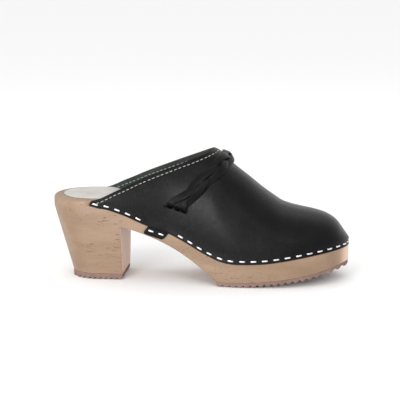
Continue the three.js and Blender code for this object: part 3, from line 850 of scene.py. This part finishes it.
def seamPlaces(offset):
    # evenly spaced places along the seam, from the inner tip over the throat to the outer tip
    count = 300
    half = [shareAtHeight(x, topline(x) - upperPiece["seamDrop"]) for x in
            (lerp(seam["rear"], form["throatX"] + 3.6, i / count) for i in range(count + 1))]
    half = [s for s in half if s < 0.5] + [0.5]
    turns = half + [1 - s for s in reversed(half[:-1])]
    points = []
    for turn in turns:
        x = edgeX(turn, upperPiece["seamDrop"])
        points.append((onForm(x, turn, offset), formNormal(x, turn)))
    places = []
    due = seam["pitch"] * 0.5
    length = 0.0
    for (before, _), (point, normal) in zip(points, points[1:]):
        length += (point - before).length
        if length >= due:
            places.append((point, (point - before).normalized(), normal))
            due += seam["pitch"]
    return places


def makeSeam(name, offset, lift):
    bm = bmesh.new()
    draw = random.Random(7)
    for point, way, normal in seamPlaces(offset):
        made = bmesh.ops.create_uvsphere(bm, u_segments=8, v_segments=6, radius=0.5)
        side = normal.cross(way).normalized()
        slant = side * draw.uniform(-0.12, 0.12)
        along = way * seam["length"] + slant
        basis = Matrix((along, side * seam["width"], normal * seam["height"])).transposed()
        for vert in made["verts"]:
            vert.co = basis @ Vector((vert.co.z, vert.co.y, vert.co.x)) + point + normal * lift
    bmesh.ops.recalc_face_normals(bm, faces=bm.faces[:])
    return finishPiece(bm, name, [thread], (), 80)


# plaited strap
strap = {
    "slit": (107.9, 64), "top": (149, 104), "width": 6.7, "endWidth": 5.2, "thickness": 1.45,
    "sway": 3.8, "lift": 1.35, "turns": 2, "clear": 2.0, "dive": 4, "steps": 150, "round": 14,
    "bank": 24, "tailWidth": 16.8, "tailLean": 50.5, "tabDrop": 7, "tailThickness": 1.2,
}


def onPlane(turn, lean, aside):
    # the strap lies in planes that lean forward: where does such a plane cross the form?
    low, high = block["tipX"], 0.84 * soleLength
    slitX, slitZ = strap["slit"]
    for _ in range(30):
        x = (low + high) / 2
        rise = (formPoint(x, turn).z - slitZ) * math.cos(lean)
        if rise - (x - slitX) * math.sin(lean) > aside:
            low = x
        else:
            high = x
    return (low + high) / 2


def strapRun(lean):
    run = []
    before = None
    length = 0.0
    for i in range(241):
        turn = i / 240
        point = formPoint(onPlane(turn, lean, 0), turn)
        if before is not None:
            length += (point - before).length
        run.append((turn, length, point.z))
        before = point
    return run


def turnAt(run, length):
    i = min(max(next((k for k, r in enumerate(run) if r[1] >= length), len(run) - 1), 1), len(run) - 1)
    share = (length - run[i - 1][1]) / (run[i][1] - run[i - 1][1])
    return run[i - 1][0] + share * (run[i][0] - run[i - 1][0])


def lengthAtHeight(run, height, outer):
    half = len(run) // 2
    side = run[half:] if outer else run[:half + 1]
    return min(side, key=lambda r: abs(r[2] - height))[1]


plaitLean = math.atan2(strap["top"][1] - strap["slit"][1], strap["top"][0] - strap["slit"][0])
plaitRun = strapRun(plaitLean)
innerSlit = lengthAtHeight(plaitRun, strap["slit"][1], False)
outerSlit = lengthAtHeight(plaitRun, strap["slit"][1], True)
insideLevel = form["top"] - form["thickness"] - 0.4 - strap["thickness"] / 2


def fromSlit(length):
    return min(length - innerSlit, outerSlit - length)


def roundedSection(k, count, width, thick):
    # a flat strap's section: straight faces, rounded edges, a slight crown
    angle = 2 * math.pi * k / count
    c, s = math.cos(angle), math.sin(angle)
    across = math.copysign(abs(c) ** 0.45, c)
    up = math.copysign(abs(s) ** 0.55, s)
    crown = 1 - 0.22 * across * across
    return across * width / 2, up * thick / 2 * crown


def makeStrand(index):
    bm = bmesh.new()
    start = innerSlit - strap["dive"]
    end = outerSlit + strap["dive"]
    steps = strap["steps"]
    endSway = (strap["endWidth"] + 0.3) / math.sin(math.pi / 3)
    frames = []
    for i in range(steps + 1):
        length = lerp(start, end, i / steps)
        settle = ease(0, 16, fromSlit(length))
        held = clamp(length, innerSlit, outerSlit)
        phase = 2 * math.pi * (strap["turns"] * (held - innerSlit) / (outerSlit - innerSlit) + index / 3)
        aside = lerp(endSway, strap["sway"], settle) * math.sin(phase)
        level = lerp(insideLevel, strap["clear"] + form["top"], ease(-1, 3, fromSlit(length)))
        level += strap["lift"] * ease(0, 7, fromSlit(length)) * math.sin(2 * phase)
        turn = turnAt(plaitRun, length)
        x = onPlane(turn, plaitLean, aside)
        middle = formPoint(x, turn)
        normal = formNormal(x, turn)
        beside = formPoint(onPlane(turn, plaitLean, aside + 0.5), turn) - middle
        width = lerp(strap["endWidth"], strap["width"], settle)
        tilt = math.radians(strap["bank"]) * settle * math.sin(phase)
        frames.append([middle + normal * level, beside.normalized(), normal, width, tilt])
    for i, item in enumerate(frames):
        way = frames[min(i + 1, steps)][0] - frames[max(i - 1, 0)][0]
        way.normalize()
        side = item[1] - way * item[1].dot(way)
        side.normalize()
        up = way.cross(side)
        if up.dot(item[2]) < 0:
            up.negate()
        tilt = item[4]
        item[1] = side * math.cos(tilt) - up * math.sin(tilt)
        item[2] = up * math.cos(tilt) + side * math.sin(tilt)
    count = strap["round"]

    def at(k, i):
        middle, side, up, width, _ = frames[i]
        across, rise = roundedSection(k % count, count, width, strap["thickness"])
        return middle + side * across + up * rise

    layGrid(bm, count, steps, at)
    bmesh.ops.remove_doubles(bm, verts=bm.verts[:], dist=0.002)
    bmesh.ops.holes_fill(bm, edges=bm.edges[:], sides=0)
    bmesh.ops.recalc_face_normals(bm, faces=bm.faces[:])
    name = f"strap_strand_{index + 1}"
    return finishPiece(bm, f"plait_strand_{index + 1}", [strapLeather], [name], 60)


slitCut = {"across": 16.4, "along": 3.4, "depth": 7, "shift": -0.6, "cuts": 12}


def cutSlots(piece):
    # the slots that the plait goes through, cut after the leather has its thickness
    for at, toTop in ((innerSlit, 1), (outerSlit, -1)):
        bm = bmesh.new()
        bmesh.ops.create_cube(bm, size=1)
        wide = [e for e in bm.edges if abs(e.verts[0].co.x - e.verts[1].co.x) > 0.5]
        bmesh.ops.subdivide_edges(bm, edges=wide, cuts=slitCut["cuts"], use_grid_fill=True)
        for vert in bm.verts:
            # pointed ends, as a knife leaves them
            pinch = 1 - 0.75 * abs(2 * vert.co.x) ** 4
            length = at + toTop * slitCut["shift"] + vert.co.y * slitCut["along"] * pinch
            turn = turnAt(plaitRun, length)
            x = onPlane(turn, plaitLean, vert.co.x * slitCut["across"])
            vert.co = onForm(x, turn, vert.co.z * slitCut["depth"] - 0.7)
        bmesh.ops.recalc_face_normals(bm, faces=bm.faces[:])
        for face in bm.faces:
            face.material_index = 2
        bmesh.ops.scale(bm, vec=(mm, mm, mm), verts=bm.verts[:])
        bmesh.ops.translate(bm, vec=shoeOrigin, verts=bm.verts[:])
        mesh = bpy.data.meshes.new("slot_knife")
        bm.to_mesh(mesh)
        bm.free()
        for look in (leather, flesh, rawEdge):
            mesh.materials.append(look)
        knife = bpy.data.objects.new("slot_knife", mesh)
        bpy.context.scene.collection.objects.link(knife)
        cut = piece.modifiers.new("slot", "BOOLEAN")
        cut.operation = "DIFFERENCE"
        cut.solver = "EXACT"
        cut.object = knife
        bpy.context.view_layer.update()
        shown = piece.evaluated_get(bpy.context.evaluated_depsgraph_get())
        piece.data = bpy.data.meshes.new_from_object(shown)
        piece.modifiers.clear()
        bpy.data.objects.remove(knife)
    print("slots cut,", len(piece.data.polygons), "faces in the upper")


tailAngle = math.radians(strap["tailLean"])
tailRun = strapRun(tailAngle)


def makeTail(outer):
    # the strap's flat end: down inside the upper, out under its edge and onto the wood
    bm = bmesh.new()
    drop = strap["dive"] + strap["thickness"]
    top = lengthAtHeight(tailRun, strap["slit"][1] - drop * math.sin(tailAngle), outer)
    edgeAt = strap["slit"][0] - (strap["slit"][1] - 46) / math.tan(tailAngle)
    end = lengthAtHeight(tailRun, ledge(edgeAt) - strap["tabDrop"] * math.sin(tailAngle), outer)
    rows, across = 26, 10
    count = 2 * across + 2
    thick = strap["tailThickness"]

    def at(k, i):
        length = lerp(top, end, i / rows)
        turn = turnAt(tailRun, length)
        k %= count
        over = k <= across
        t = k / across if over else 1 - (k - across - 1) / across
        # the corners of the end are snipped round
        near = clamp(1 - (rows - i) / 3)
        half = strap["tailWidth"] / 2 - 1.2 * near * near
        x = onPlane(turn, tailAngle, lerp(-half, half, t))
        point = formPoint(x, turn)
        out = 0.3 + thick / 2
        inside = form["top"] - form["thickness"] - 0.2 - thick / 2
        level = lerp(out, inside, ease(-0.5, 1.2, point.z - ledge(point.x)))
        crown = 1 - 0.18 * (2 * t - 1) ** 4
        return point + formNormal(x, turn) * (level + (thick if over else -thick) / 2 * crown)

    layGrid(bm, count, rows, at)
    bmesh.ops.remove_doubles(bm, verts=bm.verts[:], dist=0.002)
    bmesh.ops.holes_fill(bm, edges=bm.edges[:], sides=0)
    bmesh.ops.recalc_face_normals(bm, faces=bm.faces[:])
    softenEdges(bm, 50, 0.25, 2)
    side = "outer" if outer else "inner"
    return finishPiece(bm, f"strap_end_{side}", [strapLeather], [f"strap_tail_{side}"], 50)


# staples
staple = {
    "crown": 4.8, "wire": 1.2, "gauge": 0.7, "leg": 3.2, "bend": 0.8, "above": 2.9,
    "outerPitch": 9.45, "innerPitch": 12, "first": 5.2, "level": 0.95,
}


def edgePlaces(outer, pitch, start, end):
    # evenly spaced places along the upper's lower edge
    turn = 1 if outer else 0
    count = 700
    places = []
    length = 0.0
    due = 0.0
    before = None
    for i in range(count + 1):
        x = start + (end - start) * math.sin(math.pi / 2 * i / count)
        point = formPoint(x, turn)
        point.z = ledge(x) + staple["above"]
        if before is not None:
            length += (point - before).length
            if length >= due:
                places.append((point, (point - before).normalized(), x, turn))
                due += pitch
        before = point
    return places


def tabPlaces(outer):
    places = []
    height = ledge(strap["slit"][0] - 15) - strap["tabDrop"] * 0.3
    turn = turnAt(tailRun, lengthAtHeight(tailRun, height, outer))
    for aside in (-0.24, 0.24):
        def at(shift):
            return formPoint(onPlane(turn, tailAngle, shift * strap["tailWidth"]), turn)
        point = at(aside)
        places.append((point, (at(aside - 0.05) - at(aside + 0.05)).normalized(), point.x, turn))
    return places


def bentWire(t):
    # along the wire from one leg's end to the other's: place and outward direction
    half = staple["crown"] / 2
    bend = staple["bend"]
    leg = staple["leg"]
    arc = bend * math.pi / 2
    total = 2 * (leg + arc + half - bend)
    run = abs(t - 0.5) * total
    sign = -1 if t < 0.5 else 1
    flat = half - bend
    if run <= flat:
        return Vector((sign * run, 0)), Vector((0, 1))
    if run <= flat + arc:
        angle = (run - flat) / bend
        place = Vector((sign * (flat + bend * math.sin(angle)), bend * (math.cos(angle) - 1)))
        return place, Vector((sign * math.sin(angle), math.cos(angle)))
    return Vector((sign * half, -bend - (run - flat - arc))), Vector((sign, 0))


def addStaple(bm, place, level):
    point, way, x, turn = place
    outward = formNormal(min(x, soleLength - 0.1), turn)
    outward = (outward - way * outward.dot(way)).normalized()
    side = way.cross(outward)
    made = bmesh.ops.create_cube(bm, size=1)
    verts = made["verts"]
    edges = [e for e in {e for v in verts for e in v.link_edges}
             if abs(e.verts[0].co.x - e.verts[1].co.x) > 0.5]
    lengthwise = bmesh.ops.bevel(bm, geom=edges, offset=0.22, affect="EDGES", segments=2,
                                 profile=0.5, material=-1)
    faces = {f for v in lengthwise["verts"] for f in v.link_faces} | {f for f in lengthwise["faces"]}
    long = [e for e in {e for f in faces for e in f.edges} if abs(e.verts[0].co.x - e.verts[1].co.x) > 0.5]
    bmesh.ops.subdivide_edges(bm, edges=long, cuts=13, use_grid_fill=False)
    mine = set()
    stack = [long[0].verts[0]]
    while stack:
        vert = stack.pop()
        if vert in mine:
            continue
        mine.add(vert)
        stack.extend(e.other_vert(vert) for e in vert.link_edges)
    for vert in mine:
        along, out = bentWire(vert.co.x + 0.5)
        along = along + out * (vert.co.z - 0.5) * staple["gauge"]
        vert.co = point + way * along.x + outward * (along.y + level) + side * vert.co.y * staple["wire"]


def makeStaples(outer):
    side = "outer" if outer else "inner"
    pitch = staple["outerPitch"] if outer else staple["innerPitch"]
    covered = tabPlaces(outer)
    crossing = strap["slit"][0] - (strap["slit"][1] - ledge(covered[1][2])) / math.tan(tailAngle)
    places = edgePlaces(outer, pitch, block["tipX"] + staple["first"], crossing - 0.6 * strap["tailWidth"])
    places += edgePlaces(outer, pitch, crossing + strap["tailWidth"], soleLength - 0.2)
    bm = bmesh.new()
    for place in places:
        addStaple(bm, place, staple["level"])
    bmesh.ops.recalc_face_normals(bm, faces=bm.faces[:])
    names = [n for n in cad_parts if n.startswith(f"staple_{side}_")]
    finishPiece(bm, f"staple_row_{side}", [steel], names, 45)
    bm = bmesh.new()
    for place in covered:
        addStaple(bm, place, 0.3 + strap["tailThickness"] + 0.35)
    bmesh.ops.recalc_face_normals(bm, faces=bm.faces[:])
    names = [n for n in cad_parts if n.startswith(f"staple_strap_{side}_")]
    return finishPiece(bm, f"strap_staples_{side}", [steel], names, 45)


# label on the heel seat
label = {"thickness": 0.6, "margin": 5.5, "setback": 3, "front": 88, "steps": 60, "across": 12}


def makeLabel():
    bm = bmesh.new()
    steps, across = label["steps"], label["across"]
    lastMark = markAt(label["front"])

    def sideAt(i, inner, top):
        mark = max(lastMark * i / steps, 1e-4)
        point = planPoint(2 - mark if inner else mark, label["margin"])
        point.x = min(point.x + label["setback"], label["front"])
        point.z = footbed(point.x) + 0.15 + (label["thickness"] if top else 0)
        return point

    for top in (False, True):
        layGrid(bm, steps, across, lambda i, j: sideAt(i, False, top).lerp(sideAt(i, True, top), j / across))
    for inner in (False, True):
        layGrid(bm, steps, 1, lambda i, row: sideAt(i, inner, row == 1))
    layGrid(bm, across, 1, lambda j, row: sideAt(steps, False, row == 1).lerp(
        sideAt(steps, True, row == 1), j / across))
    weld(bm)
    softenEdges(bm, 50, 0.2, 2)
    return finishPiece(bm, "heel_label", [labelPaper], ["insole_label"], 50)


makeSoleBlock()
makeForefootTread()
makeHeelLift()
cutSlots(makeUpper())
makeFacing()
makeSeam("topline_seam_outside", form["top"] - upperPiece["seamDip"], 0.12)
insideFace = form["top"] - form["thickness"] - 0.27 - facing["thickness"]
makeSeam("topline_seam_inside", insideFace, -0.02)
for strandIndex in range(3):
    makeStrand(strandIndex)
for isOuter in (True, False):
    makeTail(isOuter)
    makeStaples(isOuter)
makeLabel()
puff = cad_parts["toe_puff"]
for slotOfPuff in puff.material_slots:
    slotOfPuff.material = board


# floor, light and camera
studio = {
    "floor": 6.0, "floorTone": (0.93, 0.93, 0.93, 1), "floorShade": (0.9, 0.9, 0.9, 1), "world": 1.0,
    "key": (-0.1, -1.0, 1.2, 1.3, 0.34, 3), "low": (-0.5, -1.38, 0.33, 0.42, 0.46, 14),
    "side": (0.7, -1.3, 0.9, 0.4, 0.3, 1.5), "top": (0.25, 0.75, 1.1, 1.0, 0.4, 1.2),
    "distance": 1.18, "azimuth": 6, "elevation": 11.9, "lens": 125.3,
    "aim": (125, 0, 50), "shift": (-0.00165, 0.0453),
}


def makeStudio():
    bm = bmesh.new()
    bmesh.ops.create_grid(bm, x_segments=2, y_segments=2, size=studio["floor"])
    mesh = bpy.data.meshes.new("floor")
    bm.to_mesh(mesh)
    bm.free()
    look = Look("floor_paper")
    cloud = look.noise(look.place(), 6, 2.0, 0.5)
    tone = look.mix(cloud * 0.04, studio["floorTone"], studio["floorShade"])
    mesh.materials.append(look.finish({"Base Color": tone, "Roughness": 0.9, "Specular IOR Level": 0.1}))
    floor = bpy.data.objects.new("floor", mesh)
    bpy.context.scene.collection.objects.link(floor)
    world = bpy.data.worlds.new("studio")
    bpy.context.scene.world = world
    world.use_nodes = True
    backdrop = world.node_tree.nodes["Background"]
    backdrop.inputs["Color"].default_value = (1, 1, 1, 1)
    backdrop.inputs["Strength"].default_value = studio["world"]
    for name in ("key", "low", "side", "top"):
        x, y, z, width, depth, power = studio[name]
        lamp = bpy.data.lights.new(name, "AREA")
        lamp.shape = "RECTANGLE"
        lamp.size = width
        lamp.size_y = depth
        lamp.energy = power
        holder = bpy.data.objects.new(name, lamp)
        holder.location = (x, y, z)
        holder.rotation_euler = (Vector((0, 0, 0.04)) - holder.location).to_track_quat("-Z", "Y").to_euler()
        bpy.context.scene.collection.objects.link(holder)
    bpy.context.scene.view_settings.view_transform = "Standard"


def makeCamera():
    azimuth = math.radians(studio["azimuth"])
    elevation = math.radians(studio["elevation"])
    aim = Vector(studio["aim"]) * mm + shoeOrigin
    level = math.cos(elevation)
    back = Vector((math.sin(azimuth) * level, -math.cos(azimuth) * level, math.sin(elevation)))
    lens = bpy.data.cameras.new("camera")
    lens.sensor_width = 36
    lens.lens = studio["lens"]
    lens.shift_x, lens.shift_y = studio["shift"]
    camera = bpy.data.objects.new("camera", lens)
    camera.location = aim + back * studio["distance"]
    camera.rotation_euler = (-back).to_track_quat("-Z", "Y").to_euler()
    bpy.context.scene.collection.objects.link(camera)
    bpy.context.scene.camera = camera


makeStudio()
makeCamera()
print("studio and camera set")

bpy.context.view_layer.update()
